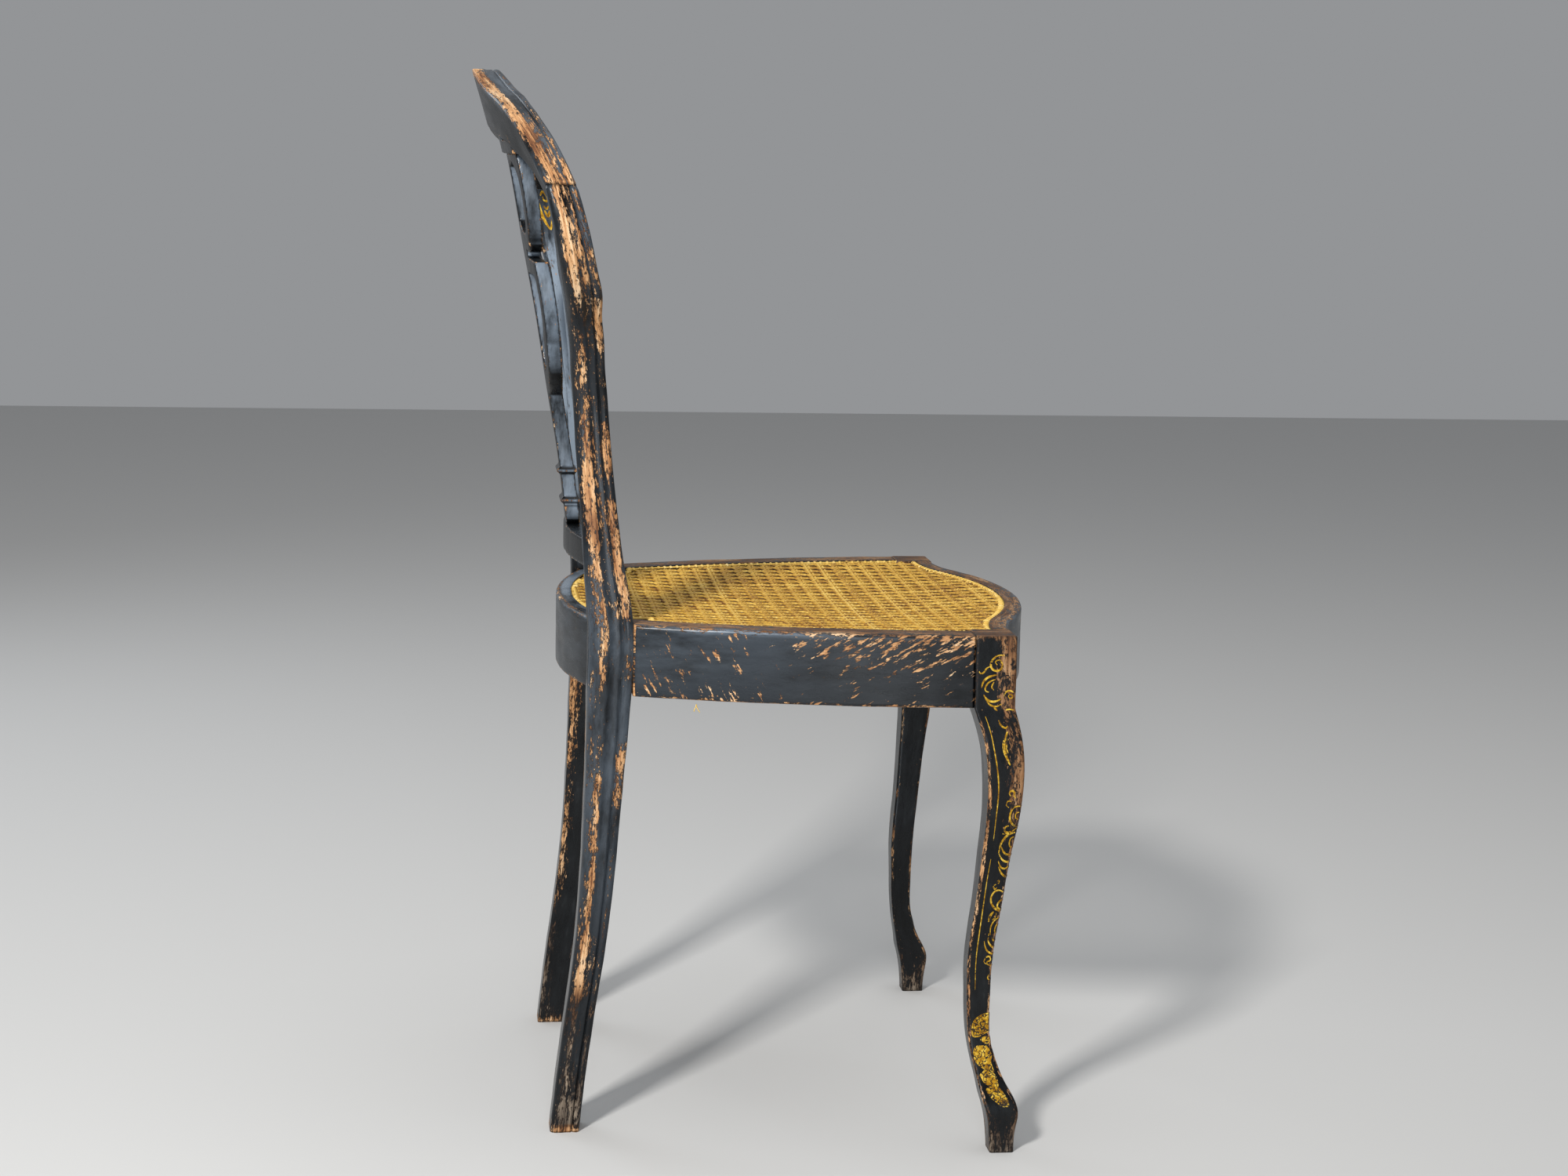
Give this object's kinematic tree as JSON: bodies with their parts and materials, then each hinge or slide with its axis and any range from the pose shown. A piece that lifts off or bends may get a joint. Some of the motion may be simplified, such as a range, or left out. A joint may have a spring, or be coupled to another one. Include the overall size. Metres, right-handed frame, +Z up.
{
  "type": "side chair",
  "caption": "Side chair with moulded balloon back, pierced splat, bowed caned seat and slim cabriole front legs.",
  "frame": {"origin": "centre of the bounding box on the floor", "axes": "+Z up, the chair's front faces -Y, +X towards the sitter's left"},
  "size_m": [0.4654, 0.4819, 0.883],
  "materials": {
    "black_paint": "black japanned paint, chipped to orange-brown wood at the edges, with gilt scrollwork on the front legs",
    "cane": "golden yellow rattan cane in an open six-way weave",
    "bare_wood": "plain beech, unpainted inside the joints"
  },
  "bodies": {
    "root": {"left_back_post": "black_paint", "right_back_post": "black_paint", "crest_rail": "black_paint", "splat": "black_paint", "splat_head_block": "black_paint", "cross_rail": "black_paint", "left_side_rail": "black_paint", "right_side_rail": "black_paint", "rear_rail": "black_paint", "front_rail": "black_paint", "left_front_leg": "black_paint", "right_front_leg": "black_paint", "cane_panel": "cane", "cane_binding": "cane", "front_left_corner_block": "bare_wood", "front_right_corner_block": "bare_wood", "rear_left_corner_block": "bare_wood", "rear_right_corner_block": "bare_wood", "left_crest_dowel": "bare_wood", "left_cross_rail_tenon": "bare_wood", "left_rear_joint_tenon": "bare_wood", "left_front_joint_tenon": "bare_wood", "left_rear_rail_tenon": "bare_wood", "left_front_rail_tenon": "bare_wood", "right_crest_dowel": "bare_wood", "right_cross_rail_tenon": "bare_wood", "right_rear_joint_tenon": "bare_wood", "right_front_joint_tenon": "bare_wood", "right_rear_rail_tenon": "bare_wood", "right_front_rail_tenon": "bare_wood"}
  },
  "joints": []
}
